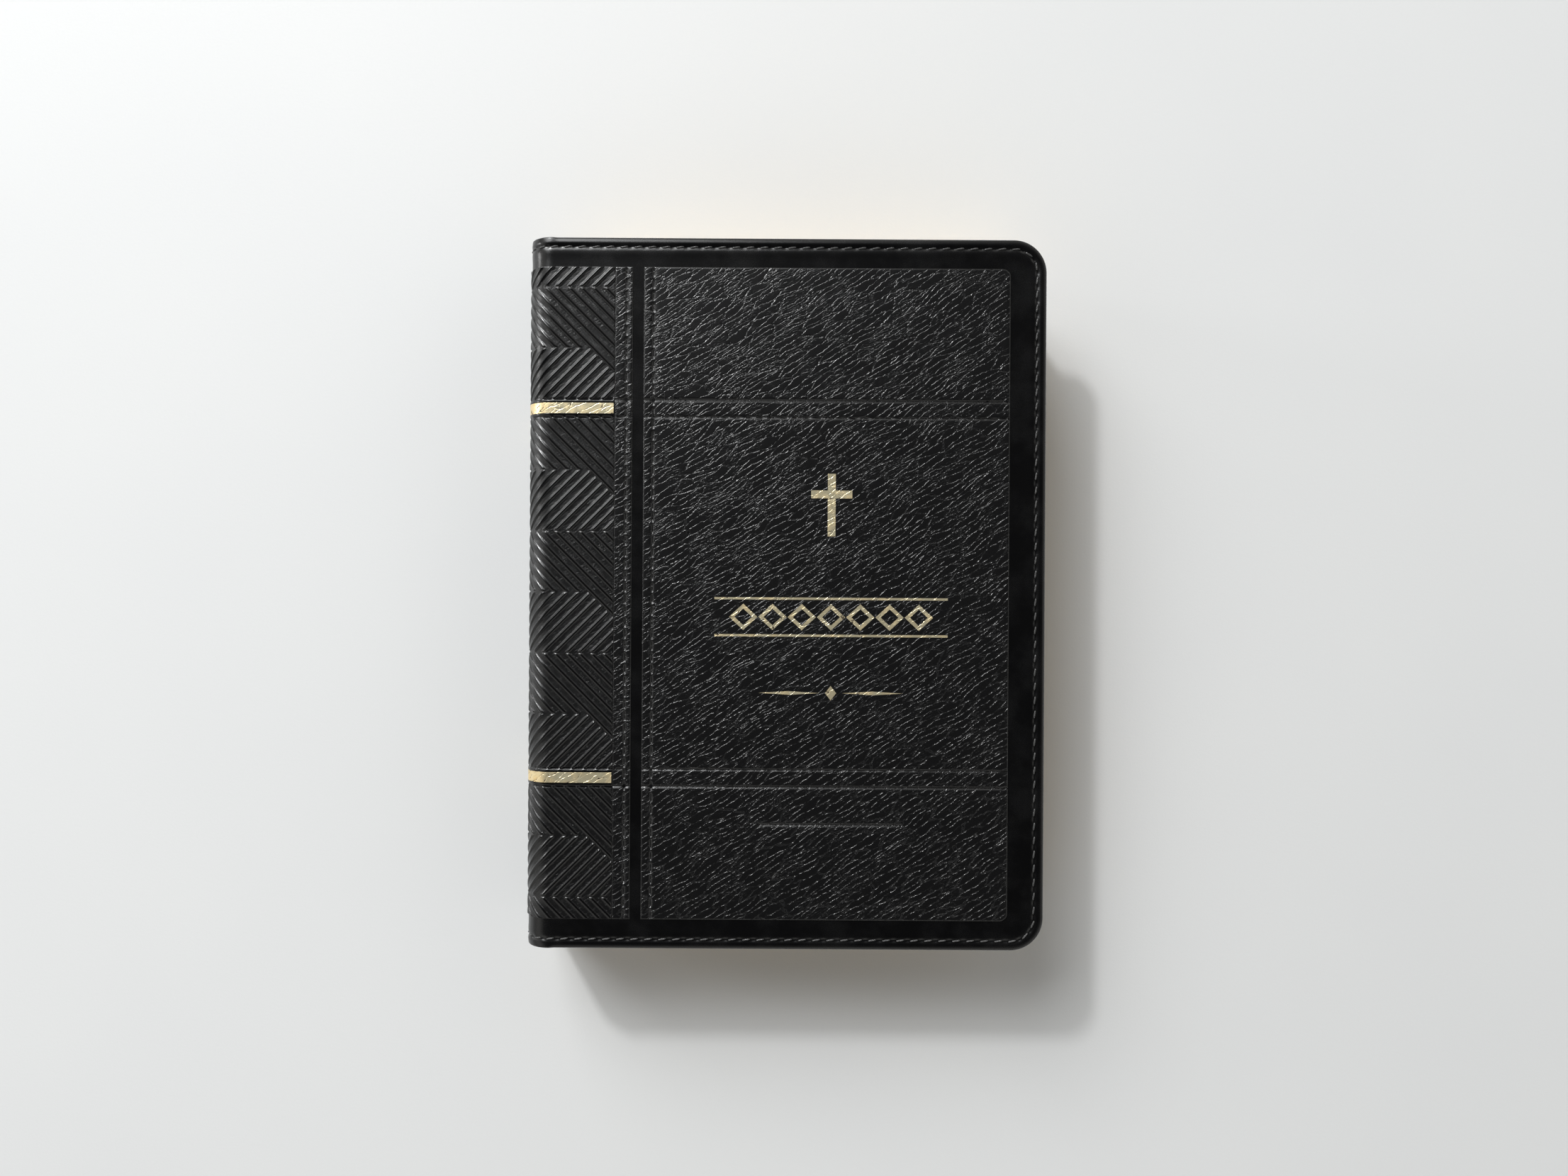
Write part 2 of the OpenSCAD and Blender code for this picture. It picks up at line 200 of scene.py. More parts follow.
class Finish:
    def __init__(self, name):
        self.material = bpy.data.materials.new(name)
        self.material.use_nodes = True
        self.tree = self.material.node_tree
        self.tree.nodes.clear()

    def node(self, kind, settings, values, output=0):
        made = self.tree.nodes.new("ShaderNode" + kind)
        for key, value in settings.items():
            setattr(made, key, value)
        for key, value in values.items():
            if isinstance(value, Wire):
                self.tree.links.new(value.socket, made.inputs[key])
            else:
                made.inputs[key].default_value = value
        return Wire(self, made.outputs[output] if made.outputs else None)

    # Where a point was on the sheet, in millimetres, before anything bent.
    def sheet(self):
        return self.node("Attribute", {"attribute_name": "sheet"}, {}, "Vector")

    # The same for a rigid piece that comes straight from the frame.
    def place(self):
        here = self.node("TexCoord", {}, {}, "Object")
        return self.node("VectorMath", {"operation": "SCALE"}, {0: here, "Scale": perMetre})

    # Turns the sheet by some degrees and divides it by the size of one feature.
    def scaled(self, where, size, degrees=0):
        turn = (0, 0, math.radians(degrees))
        values = {"Vector": where, "Rotation": turn, "Scale": size}
        return self.node("Mapping", {"vector_type": "TEXTURE"}, values)

    def noise(self, where, scale, detail=2, roughness=0.5):
        values = {"Vector": where, "Scale": scale, "Detail": detail, "Roughness": roughness}
        return self.node("TexNoise", {}, values)

    def cells(self, where, scale=1):
        settings = {"feature": "DISTANCE_TO_EDGE", "voronoi_dimensions": "2D"}
        return self.node("TexVoronoi", settings, {"Vector": where, "Scale": scale})

    def waves(self, where, axis, scale, distortion=0.0):
        settings = {"wave_type": "BANDS", "bands_direction": axis, "wave_profile": "SIN"}
        values = {"Vector": where, "Scale": scale, "Distortion": distortion}
        return self.node("TexWave", settings, values, "Fac")

    def warped(self, where, scale, amount):
        values = {"Vector": where, "Scale": scale, "Detail": 2}
        drift = self.node("TexNoise", {}, values, "Color")
        drift = self.node("VectorMath", {"operation": "SUBTRACT"}, {0: drift, 1: (0.5,) * 3})
        drift = self.node("VectorMath", {"operation": "SCALE"}, {0: drift, "Scale": amount})
        return self.node("VectorMath", {"operation": "ADD"}, {0: where, 1: drift})

    def step(self, value, low, high, fromValue=0.0, toValue=1.0):
        values = {"Value": value, "From Min": low, "From Max": high}
        values.update({"To Min": fromValue, "To Max": toValue})
        return self.node("MapRange", {"interpolation_type": "SMOOTHSTEP"}, values)

    def blend(self, share, low, high):
        low, high = [tone if isinstance(tone, Wire) else (*tone, 1) for tone in (low, high)]
        return self.node("Mix", {"data_type": "RGBA"}, {0: share, 6: low, 7: high}, 2)

    def bump(self, height, depth):
        values = {"Height": height, "Distance": depth / perMetre, "Strength": 1.0}
        return self.node("Bump", {}, values)

    def surface(self, values):
        shader = self.node("BsdfPrincipled", {}, values)
        self.node("OutputMaterial", {}, {"Surface": shader})
        return self.material


print("helpers ready")

grain = {
    "angle": 33,  # degrees that the creases run up to the right
    "long": 9.0,  # length and width of one cell, mm
    "wide": 1.7,
    "creaseWide": 0.105,  # half the width of a crease, as a share of the cell
    "fineLong": 0.3,  # fine cells, as a share of the long ones
    "fineWide": 0.4,
    "fineTurn": 6,  # degrees that the fine creases lie lower
    "fineCrease": 1.7,
    "fineHeight": 0.36,
    "ribbedSize": 0.42,  # size of the grain between the ribs
    "depth": 0.1,
    "ribbedDepth": 0.03,
    "gloss": (0.2, 0.3),  # roughness of grained and ribbed leather
    "specular": 0.55,
    "black": (0.0022, 0.0022, 0.0024),
    "worn": (0.008, 0.008, 0.0084),
    # painted highlight: a lighter colour for the walls of the creases, standing in for the glints of light
    # on them
    "crease": (0.018, 0.018, 0.0185),
}


# Height of the plated grain, from 0 in a crease to 1. Long creases cross patches of fine ones.
def grainHeight(finish, where, size=1.0):
    bent = finish.warped(where, 0.06 / size, 4.0 * size)
    bent = finish.warped(bent, 0.55 / size, 1.0 * size)
    big = (grain["long"] * size, grain["wide"] * size, 1)
    small = (grain["long"] * size * grain["fineLong"], grain["wide"] * size * grain["fineWide"], 1)
    bigCells = finish.cells(finish.scaled(bent, big, grain["angle"]))
    smallCells = finish.cells(finish.scaled(bent, small, grain["angle"] - grain["fineTurn"]))
    faded = finish.step(finish.noise(where, 0.5 / size), 0.4, 0.56)
    beads = finish.step(finish.noise(where, 1.5 / size), 0.35, 0.6, 0.45, 1.0)
    patch = finish.step(finish.noise(where, 0.12 / size), 0.4, 0.58, 0.1, 1.0)
    longCrease = (1 - finish.step(bigCells, 0.0, grain["creaseWide"])) * (0.3 + 0.7 * faded)
    fineCrease = 1 - finish.step(smallCells, 0.0, grain["creaseWide"] * grain["fineCrease"])
    fineCrease = fineCrease * patch * grain["fineHeight"]
    return 1 - (longCrease + fineCrease * (1 - 0.4 * faded)) * beads


def grainedLeather():
    finish = Finish("grained_leather")
    where = finish.sheet()
    height = grainHeight(finish, where)
    pores = finish.noise(where, 4.5, 3, 0.6)
    # painted highlight: the crease walls, between crease floor and plateau, get the lighter crease colour in
    # place of real glints
    paintedGlint = finish.step(height, 0.25, 0.6, 0.0, 1.0) * finish.step(height, 0.6, 0.9, 1.0, 0.0)
    tone = finish.blend(pores, grain["black"], grain["worn"])
    return finish.surface({
        "Base Color": finish.blend(paintedGlint, tone, grain["crease"]),
        "Roughness": finish.step(height + pores * 0.3, 0.3, 1.3, *grain["gloss"]),
        "Specular IOR Level": grain["specular"],
        "Normal": finish.bump(height + pores * 0.12, grain["depth"]),
    })


def ribbedLeather():
    finish = Finish("ribbed_leather")
    where = finish.sheet()
    channel = finish.step(finish.node("SeparateXYZ", {}, {0: where}, "Z"), 0.14, 0.26)
    height = 1 - (1 - grainHeight(finish, where, grain["ribbedSize"])) * channel
    pores = finish.noise(where, 3.5, 2, 0.5)
    return finish.surface({
        "Base Color": finish.blend(channel * pores, grain["black"], grain["worn"]),
        "Roughness": finish.step(channel + pores * 0.4, 0.1, 1.3, *grain["gloss"]),
        "Specular IOR Level": grain["specular"],
        "Normal": finish.bump(height + pores * (0.03 + channel * 0.05), grain["ribbedDepth"]),
    })


def smoothLeather():
    finish = Finish("smooth_leather")
    where = finish.sheet()
    pores = finish.noise(where, 3.2, 3, 0.55)
    wear = finish.step(finish.noise(where, 0.07, 3, 0.6), 0.4, 0.7)
    wrinkles = finish.noise(finish.scaled(where, (2.2, 6.0, 1), 74), 1.0, 2)
    return finish.surface({
        "Base Color": finish.blend(pores * wear, grain["black"], grain["worn"]),
        "Roughness": finish.step(pores + wear * 0.3, 0.2, 1.2, 0.24, 0.3),
        "Normal": finish.bump(pores * 0.35 + wrinkles * 0.8, 0.02),
    })


tones = {
    "thread": ((0.008, 0.008, 0.008), (0.1, 0.1, 0.1)),
    "board": ((0.42, 0.39, 0.34), (0.24, 0.22, 0.19)),
    "gilt": ((0.86, 0.64, 0.3), (0.68, 0.45, 0.17)),
    "wornGilt": (0.74, 0.6, 0.38),
    "page": ((0.84, 0.81, 0.73), (0.76, 0.72, 0.62)),
    "endpaper": ((0.8, 0.76, 0.66), (0.7, 0.65, 0.54)),
    "gauze": ((0.5, 0.48, 0.42), (0.82, 0.8, 0.72)),
    "linen": ((0.6, 0.56, 0.47), (0.86, 0.83, 0.74)),
    "sewing": ((0.66, 0.64, 0.58), (0.9, 0.88, 0.82)),
    "silk": ((0.72, 0.5, 0.17), (0.9, 0.84, 0.66)),
    "table": ((0.80, 0.81, 0.81), (0.76, 0.77, 0.78)),
}
foilTone = {
    "pale": (0.96, 0.87, 0.6),
    "warm": (0.85, 0.62, 0.29),
    "bare": (0.05, 0.035, 0.02),
    "warmFrom": flatU + 3,  # the foil grows warmer from here to the rounded edge
    "warmTo": flatU - 5,
    "depth": 0.07,
}


def goldFoil():
    finish = Finish("gold_foil")
    where = finish.sheet()
    height = grainHeight(finish, where)
    bare = finish.step(height, 0.2, 0.5, 1.0, 0.0)
    tone = finish.step(finish.noise(where, 0.35, 3), 0.35, 0.7)
    alongU = finish.node("SeparateXYZ", {}, {0: where}, "X")
    warm = finish.step(alongU, foilTone["warmTo"], foilTone["warmFrom"], 1, 0)
    metal = finish.blend(tone * 0.45 + warm * 0.5, foilTone["pale"], foilTone["warm"])
    return finish.surface({
        "Base Color": finish.blend(bare, metal, foilTone["bare"]),
        "Metallic": 0.75 - bare * 0.6,
        "Roughness": finish.step(tone + bare, 0.0, 1.6, 0.32, 0.5),
        "Normal": finish.bump(height + tone * 0.4, foilTone["depth"]),
    })


def coverThread():
    finish = Finish("cover_thread")
    where = finish.sheet()
    strands = finish.waves(finish.scaled(where, (1, 1, 1), 38), "X", 1.1, 0.4)
    fuzz = finish.noise(where, 6.0, 2)
    return finish.surface({
        "Base Color": finish.blend(strands * 0.6 + fuzz * 0.4, *tones["thread"]),
        "Roughness": finish.step(fuzz, 0.3, 0.7, 0.2, 0.3),
        "Normal": finish.bump(strands + fuzz * 0.3, 0.02),
    })


def boardFace():
    finish = Finish("board")
    where = finish.place()
    fibres = finish.noise(finish.scaled(where, (0.5, 2.6, 1), 12), 1.6, 4, 0.65)
    specks = finish.step(finish.noise(where, 1.9, 2), 0.62, 0.7)
    return finish.surface({
        "Base Color": finish.blend(fibres * 0.7 + specks * 0.4, *tones["board"]),
        "Roughness": finish.step(fibres, 0.2, 0.8, 0.75, 0.92),
        "Normal": finish.bump(fibres, 0.05),
    })


def paper(name, colours):
    finish = Finish(name)
    where = finish.sheet()
    fibres = finish.noise(finish.scaled(where, (1.4, 0.6, 1), 20), 1.8, 4, 0.6)
    cloud = finish.noise(where, 0.06, 2)
    return finish.surface({
        "Base Color": finish.blend(finish.step(fibres * 0.5 + cloud, 0.4, 1.1), *colours),
        "Roughness": finish.step(fibres, 0.2, 0.8, 0.62, 0.78),
        "Normal": finish.bump(fibres, 0.012),
    })


# Burnished gold on the edges of the leaves, with a fine streak for each leaf.
def giltEdge():
    finish = Finish("gilt_page_block")
    where = finish.sheet()
    leaves = finish.noise(finish.scaled(where, (26, 26, 0.085)), 1.0, 2, 0.55)
    bands = finish.noise(finish.scaled(where, (9, 9, 0.6)), 1.0, 2)
    wear = finish.step(finish.noise(where, 0.5, 4, 0.65), 0.56, 0.74)
    metal = finish.blend(finish.step(bands + leaves, 0.7, 1.3), *tones["gilt"])
    return finish.surface({
        "Base Color": finish.blend(wear * 0.5, metal, tones["wornGilt"]),
        "Metallic": 0.95 - wear * 0.4,
        "Roughness": finish.step(leaves + wear * 0.5, 0.3, 1.2, 0.26, 0.46),
        "Normal": finish.bump(leaves + bands * 0.3, 0.03),
    })


# Plain weave: threads cross over and under each other at one pitch.
def woven(name, pitch, colours, depth):
    finish = Finish(name)
    where = finish.place()
    drifted = finish.warped(where, 0.4, pitch * 0.3)
    perWave = 0.31415 / pitch  # the wave texture repeats every pi / 10 at scale 1
    across = finish.waves(drifted, "Z", perWave)
    along = finish.waves(drifted, "Y", perWave)
    cloth = across * along
    slubs = finish.noise(where, 0.8 / pitch, 2)
    return finish.surface({
        "Base Color": finish.blend(cloth * 0.7 + slubs * 0.3, *colours),
        "Roughness": finish.step(slubs, 0.3, 0.7, 0.72, 0.9),
        "Normal": finish.bump(cloth + slubs * 0.2, depth),
    })


def headbandCloth():
    finish = Finish("headband_cloth")
    where = finish.sheet()
    stripe = finish.step(finish.waves(finish.scaled(where, (1,) * 3), "Z", 0.157), 0.4, 0.6)
    silk = finish.noise(finish.scaled(where, (0.3, 0.3, 0.08)), 1.0, 2)
    return finish.surface({
        "Base Color": finish.blend(stripe, *tones["silk"]),
        "Roughness": finish.step(silk, 0.3, 0.7, 0.4, 0.6),
        "Normal": finish.bump(silk, 0.05),
    })


def floorFinish():
    finish = Finish("table_top")
    where = finish.place()
    speckle = finish.noise(where, 1.3, 3, 0.6)
    cloud = finish.noise(where, 0.012, 2)
    return finish.surface({
        "Base Color": finish.blend(speckle * 0.3 + cloud * 0.7, *tones["table"]),
        "Roughness": finish.step(speckle, 0.3, 0.7, 0.55, 0.65),
        "Normal": finish.bump(speckle, 0.03),
    })


leatherSmooth = smoothLeather()
leatherRibbed = ribbedLeather()
leatherGrained = grainedLeather()
foil = goldFoil()
threadBlack = coverThread()
gilt = giltEdge()
pagePaper = paper("page_paper", tones["page"])
endpaperFace = paper("endpaper", tones["endpaper"])
print("finishes ready")


def hingePoint(x, z, toBack):
    return (x / perMetre, 0, (bookT - z if toBack else z) / perMetre)


half = math.sqrt(0.5)
sides = [
    {"name": "front", "pages": "upper_pages", "cover": "front_cover", "toBack": False},
    {"name": "back", "pages": "lower_pages", "cover": "back_cover", "toBack": True},
]


# Leather between the spine and the seam: two hinge points beside the spine are worked out, and the piece's
# transform is baked into its mesh.
def bendAtSpine(piece, side):
    reach = 0.9 * roundR
    start = hingePoint(spineX, roundZ, side["toBack"])
    end = (spineX + reach * (1 - half), roundZ + reach * half)
    hingePoint(*end, side["toBack"])
    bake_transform(piece)


# Leather between the seam and the flat of the cover: two hinge points are worked out, and the piece's
# transform is baked into its mesh.
def bendAtCover(piece, side):
    radius = roundR - pasteDepth / 2 - 0.3
    start = hingePoint(roundX - radius * half, roundZ + radius * half, side["toBack"])
    end = hingePoint(roundX, roundZ + radius, side["toBack"])
    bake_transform(piece)


# Smooth leather: the base of the cover, its edges and its turn-in.

skin = {
    "border": 9.0,  # width of the border that is shaped as one band
    "turnIn": 5.0,
    "outerRound": 0.44,  # radius of the rounded edge, as a share of the thickness
    "innerRound": 0.27,
    "puff": 0.12,  # height of the swell beside the stitching
    "stitchInset": 3.0,
    "swellInset": 1.75,  # the border swells on each side of the stitching
    "swellWide": 0.7,
    "innerSwell": 0.6,
    "innerInset": 4.7,
    "innerWide": 1.2,
    "stitchSink": 0.14,  # how far the thread pulls the leather down
    "sinkWide": 0.62,
    "holeSink": 0.25,
    "holeWide": 0.42,
    "holeLong": 0.45,
    "cornerR": 10.0,
    "step": 0.56,
    "lining": 0.3,  # extra thickness beside the rounded edge
    "turnInEdge": 0.25,
    "leadColumns": 14,  # from the seam to the flat of the cover
    "spineColumns": 20,
    "cornerColumns": 26,
}
stitch = {
    "length": 2.75,
    "gap": 1.53,
    "width": 0.64,
    "rise": 0.5,
    "slant": 9,  # degrees
    "twists": 3.2,
    "twistDepth": 0.05,  # how much the twist shows, as a share of the width
    "dip": 0.26,  # how far the ends go down into their holes
    "sunk": 0.1,
}

cornerU = coverU(foreX) - skin["cornerR"]
cornerV = bookH / 2 - skin["cornerR"]
bendR = skin["cornerR"] - skin["stitchInset"]
bendLength = bendR * math.pi / 2
halfRun = cornerU + bendLength + cornerV  # stitching from the spine to the middle of the fore-edge
stitchCount = round(halfRun / (stitch["length"] + stitch["gap"]))
stitchPitch = halfRun / stitchCount


def insideSkin(u):
    lined = skin["lining"] * smoothStep(u, halfSpine, seamU)
    boarded = (insideDepth - boardDepth - skin["lining"]) * smoothStep(u, flatU - 0.5, flatU + 1.5)
    return boardDepth + lined + boarded


# Depth of the smooth leather's outer face, away from the rounded edge.
def skinDepth(inset, along):
    fromLine = inset - skin["stitchInset"]
    fromHole = np.abs((along / stitchPitch + 0.5) % 1 - 0.5) * stitchPitch
    sink = skin["stitchSink"] * hump(fromLine, skin["sinkWide"])
    sink = sink + skin["holeSink"] * hump(fromLine, skin["holeWide"]) * hump(fromHole, skin["holeLong"])
    swell = hump(inset - skin["swellInset"], skin["swellWide"])
    swell = swell + skin["innerSwell"] * hump(inset - skin["innerInset"], skin["innerWide"])
    return leatherDepth + sink - skin["puff"] * swell


# One band along the outline. Across it run the outer face, the rounded edge and the turn-in.
def addBorder(shape, u, v, inU, inV, along):
    inner = insideSkin(u)
    outerR = skin["outerRound"] * (inner - leatherDepth)
    innerR = skin["innerRound"] * (inner - leatherDepth)
    face = [skin["border"], 7.6, 6.4, 5.6, 4.9, 4.3, 3.9, 3.6, 3.3, 3.1, 2.9, 2.65, 2.4, 2.1, 1.75, 1.45]
    across = [(inset, skinDepth(inset, along)) for inset in face]
    for degrees in (90, 70, 50, 32, 15, 0):
        a = math.radians(degrees)
        across.append((outerR * (1 - math.cos(a)), leatherDepth + outerR * (1 - math.sin(a))))
    for degrees in (0, 25, 55, 90):
        a = math.radians(degrees)
        across.append((innerR * (1 - math.cos(a)), inner - innerR * (1 - math.sin(a))))
    edge = skin["turnInEdge"]
    across += [(2.4, inner), (skin["turnIn"] - 0.15, inner), (skin["turnIn"], inner - edge)]
    rows = [wrap(u + inU * inset, v + inV * inset, depth) for inset, depth in across]
    shape.grid(np.stack([row[0] for row in rows]), np.stack([row[1] for row in rows]))


# The outline from the head round the fore-edge to the tail, in equal steps.
def coverOutline(uStart):
    lead = np.linspace(uStart, flatU, skin["leadColumns"])
    flat = np.linspace(flatU, cornerU, round((cornerU - flatU) / skin["step"]))[1:]
    head = np.concatenate([lead, flat])
    angles = np.linspace(math.pi / 2, 0, skin["cornerColumns"])[1:]
    fore = np.linspace(cornerV, 0, round(cornerV / skin["step"]))[1:]
    u = [head, cornerU + skin["cornerR"] * np.cos(angles), 0 * fore + cornerU + skin["cornerR"]]
    v = [0 * head + bookH / 2, cornerV + skin["cornerR"] * np.sin(angles), fore]
    inU = [0 * head, -np.cos(angles), 0 * fore - 1]
    inV = [0 * head - 1, -np.sin(angles), 0 * fore]
    turned = cornerU + bendR * (math.pi / 2 - angles)
    along = [head, turned, cornerU + bendLength + cornerV - fore]
    u, v, inU, inV, along = [np.concatenate(part) for part in (u, v, inU, inV, along)]
    mirrored = [(u, 1), (v, -1), (inU, 1), (inV, -1), (along, 1)]
    return [np.concatenate([part, sign * part[-2::-1]]) for part, sign in mirrored]


# Long quads from tail to head between the two borders.
def addSpan(shape, u, reach, depth, flip=False):
    points, sheet = wrap(u[None, :], np.array([-reach, reach])[:, None], depth[None, :])
    shape.grid(points, sheet, flip=flip)


def makeCoverSkin(side):
    shape = Shape()
    u, v, inU, inV, along = coverOutline(seamU)
    addBorder(shape, u, v, inU, inV, along)
    lead = np.linspace(seamU, flatU, skin["leadColumns"])
    reach = bookH / 2
    addSpan(shape, lead, reach - skin["border"], skinDepth(skin["border"], 0) + 0 * lead)
    addSpan(shape, lead, reach - skin["turnIn"], insideSkin(lead) - skin["turnInEdge"], flip=True)
    flat = u >= flatU - 1e-9
    border = skin["border"]
    rim = wrap((u + inU * border)[flat], (v + inV * border)[flat], skinDepth(border, along)[flat])
    shape.add(*rim, [list(range(shape.count, shape.count + int(flat.sum())))[::-1]])
    piece = shape.make(side["name"] + "_skin", [leatherSmooth], side["toBack"])
    bendAtCover(piece, side)
    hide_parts(side["name"] + "_leather", side["name"] + "_hinge_cord")


def makeSpineSkin(side):
    shape = Shape()
    flat = np.linspace(0, halfSpine, skin["spineColumns"])[:-1]
    u = np.concatenate([flat, np.linspace(halfSpine, seamU, skin["leadColumns"])])
    for end in (1, -1):
        run = u if end == 1 else u[::-1]
        addBorder(shape, run, 0 * run + end * bookH / 2, 0 * run, 0 * run - end, run)
    reach = bookH / 2
    addSpan(shape, u, reach - skin["border"], skinDepth(skin["border"], 0) + 0 * u)
    addSpan(shape, u, reach - skin["turnIn"], insideSkin(u) - skin["turnInEdge"], flip=True)
    piece = shape.make(side["name"] + "_spine_skin", [leatherSmooth], side["toBack"])
    bendAtSpine(piece, side)
    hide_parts("spine_leather")


for side in sides:
    makeCoverSkin(side)
    makeSpineSkin(side)
print("smooth leather made")

# Ribbed band round the spine, with its raised bands.

ribs = {
    "endU": coverU(extent("front_grain_strip")[0][0]),
    "endV": extent("front_rib_band")[1][1],
    "pitch": 3.7,  # between ribs, measured across the book
    "field": 18.5,  # height of one slanted field
    "firstField": 15.2,  # from the head to the first change of slant
    "turnX": 19.4,  # from the spine to where a field carries on past its lower edge
    "samples": 16,  # points across one pitch
    "ribHalf": 0.2,
    "ribSlope": 0.46,
    "floor": 0.12,  # channel height over the smooth leather
    "foot": 0.05,  # how far the border is sunk into the smooth leather
    "edge": 0.5,
    "endEdge": 0.4,
    "endFloor": 0.4,  # height left at the end beside the groove
    "bandV": bookH / 2 - 52,
    "bandHalf": 2.6,
    "bandHeight": 1.12,  # as a share of a rib's height
    "bandLine": 0.2,
    "barHalf": 1.6,
    "barSink": 0.06,
    "barInset": 0.12,  # from the foil bar's border to its first row
    "barGap": 0.3,  # from the foil bar's end to the end of the ribbed band
}


def ribHeight(u, v):
    x = u - flatU + roundR
    down = (bookH / 2 - v - ribs["firstField"]) / ribs["field"]
    inField = down - np.floor(down)
    rising = np.floor(down) % 2 == 0
    past = ~rising & (x > ribs["turnX"] + inField * ribs["field"])
    zigzag = ribs["field"] * np.where(rising, inField, np.where(past, 1 + inField, 1 - inField))
    phase = (x - zigzag) / ribs["pitch"]
    across = np.abs(phase - np.floor(phase) - 0.5) * ribs["pitch"] * half
    rib = 1 - smoothStep(across, ribs["ribHalf"], ribs["ribHalf"] + ribs["ribSlope"])
    toTop = inField * ribs["field"]
    toEnds = np.minimum(toTop, ribs["field"] - toTop)
    toTurn = np.abs(x - ribs["turnX"] - toTop) * half
    cutRising = np.where(x > ribs["turnX"], toTop, toEnds)
    cutFalling = np.where(past, toTurn, np.minimum(toEnds, toTurn))
    return rib * smoothStep(np.where(rising, cutRising, cutFalling), 0.05, 0.4)


def roundedEdge(distance, width):
    return np.sqrt(1 - (1 - np.clip(distance / width, 0, 1)) ** 2)


# The end beside the groove stops at a low step.
def closedEnd(distance):
    return ribs["endFloor"] + (1 - ribs["endFloor"]) * roundedEdge(distance, ribs["endEdge"])


# Brings a raised piece down to its foot at its border.
def closedDepth(depth, closed):
    return leatherDepth + ribs["foot"] + (depth - leatherDepth - ribs["foot"]) * closed


def ribDepth(u, v):
    height = ribs["floor"] + (1 - ribs["floor"]) * ribHeight(u, v)
    fromBand = np.abs(np.abs(v) - ribs["bandV"])
    inBand = 1 - smoothStep(fromBand, ribs["bandHalf"] - 0.25, ribs["bandHalf"] + 0.05)
    height = height + (ribs["bandHeight"] - height) * inBand
    depth = leatherDepth * (1 - height)
    depth = depth + ribs["bandLine"] * hump(fromBand - ribs["bandHalf"] - 0.1, 0.3)
    depth = depth + ribs["barSink"] * (1 - smoothStep(fromBand, ribs["barHalf"], ribs["barHalf"] + 0.2))
    ended = roundedEdge(ribs["endV"] - np.abs(v), ribs["edge"])
    return closedDepth(depth, ended * closedEnd(ribs["endU"] - u))


def ribColumns(low, high):
    step = ribs["pitch"] / ribs["samples"]
    inside = np.arange(math.ceil((low - flatU + roundR) / step), (high - flatU + roundR) / step) * step
    inside = inside + flatU - roundR
    return np.unique(np.concatenate([[low], inside[(inside > low + 0.05) & (inside < high - 0.05)], [high]]))


def ribRows():
    step = ribs["pitch"] / ribs["samples"]
    first = bookH / 2 - ribs["firstField"]
    inside = first + np.arange(-bookH / step, bookH / step).round() * step
    inside = inside[np.abs(inside) < ribs["endV"] - 0.65]
    edge = ribs["endV"] - np.array([0, 0.04, 0.12, 0.25, 0.42, 0.6])
    return np.concatenate([-edge, inside, edge[::-1]])


def ribPiece(name, side, low, high, node):
    shape = Shape()
    columns = ribColumns(low, high)
    if high == ribs["endU"]:
        columns = np.concatenate([columns[:-2], high - np.array([0.4, 0.26, 0.12, 0.04, 0])])
    u, v = np.meshgrid(columns, ribRows())
    shape.grid(*wrap(u, v, ribDepth(u, v)))
    piece = shape.make(name, [leatherRibbed], side["toBack"])
    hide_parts(node)
    return piece


for side in sides:
    name = side["name"]
    bendAtCover(ribPiece(name + "_ribs", side, seamU, ribs["endU"], name + "_rib_band"), side)
    bendAtSpine(ribPiece(name + "_spine_ribs", side, 0, seamU, "spine_rib_band"), side)
print("ribbed bands made")

# Grained strip and panel on each cover.

panel = {
    "top": 0.05,  # depth of the raised face
    "edge": 0.6,
    "columnStep": 1.0,
    "rowStep": 0.3,
    "lineSink": 0.36,
    "lineWidth": 0.38,
    "mockPitch": 3.54,  # pressed lines that look like stitching
    "mockBridge": 0.5,
    "mockRise": 1.15,  # how far each bridge fills the line
    "stripLine": 2.0,  # from the strip's edge beside the groove
    "panelLine": 3.0,
    "swell": 0.05,
    "swellShare": 0.6,
    "cornerR": 2.4,
    "ruleV": bookH / 2 - 178,
    "ruleHalf": 22,
    "ruleWide": 0.42,
    "ruleSink": 0.9,  # as a share of a line's depth
}
swells = random.Random(11)
swellWaves = [
    (swells.uniform(0.05, 0.35), swells.uniform(0.05, 0.35), swells.uniform(0, 6.28)) for _ in range(9)
]


# A slow swell in the padded leather, the same for the panel and the foil that is pressed into it.
def slowSwell(u, v):
    total = sum(np.sin(a * u + b * v + c) for a, b, c in swellWaves)
    return panel["swell"] * total / len(swellWaves)


def pressedLine(distance, along, mock):
    sink = panel["lineSink"] * hump(distance, panel["lineWidth"])
    if not mock:
        return sink
    fromBridge = np.abs((along / panel["mockPitch"] + 0.5) % 1 - 0.5) * panel["mockPitch"]
    return sink * (1 - panel["mockRise"] * hump(fromBridge, panel["mockBridge"]))


def panelDepth(u, v, lineU, ruleU=None):
    depth = panel["top"] + slowSwell(u, v) * panel["swellShare"]
    depth = depth + pressedLine(u - lineU, v, True)
    outer = np.abs(v) - ribs["bandV"] - ribs["bandHalf"]
    inner = np.abs(v) - ribs["bandV"] + ribs["bandHalf"]
    depth = depth + pressedLine(outer, u, False) + pressedLine(inner, u, True)
    if ruleU is not None:
        inRule = 1 - smoothStep(np.abs(u - ruleU), panel["ruleHalf"] - 0.3, panel["ruleHalf"] + 0.3)
        rule = panel["lineSink"] * hump(v - panel["ruleV"], panel["ruleWide"])
        depth = depth + inRule * rule * panel["ruleSink"]
    return depth


def dense(low, high, step, near=()):
    edge = np.array([0, 0.05, 0.15, 0.3, 0.5])
    inside = np.arange(low + 0.75, high - 0.7, step)
    close = [place + np.array([-0.52, -0.34, -0.2, -0.08, 0.08, 0.2, 0.34, 0.52]) for place in near]
    return np.unique(np.concatenate([low + edge, high - edge, inside, *close]))


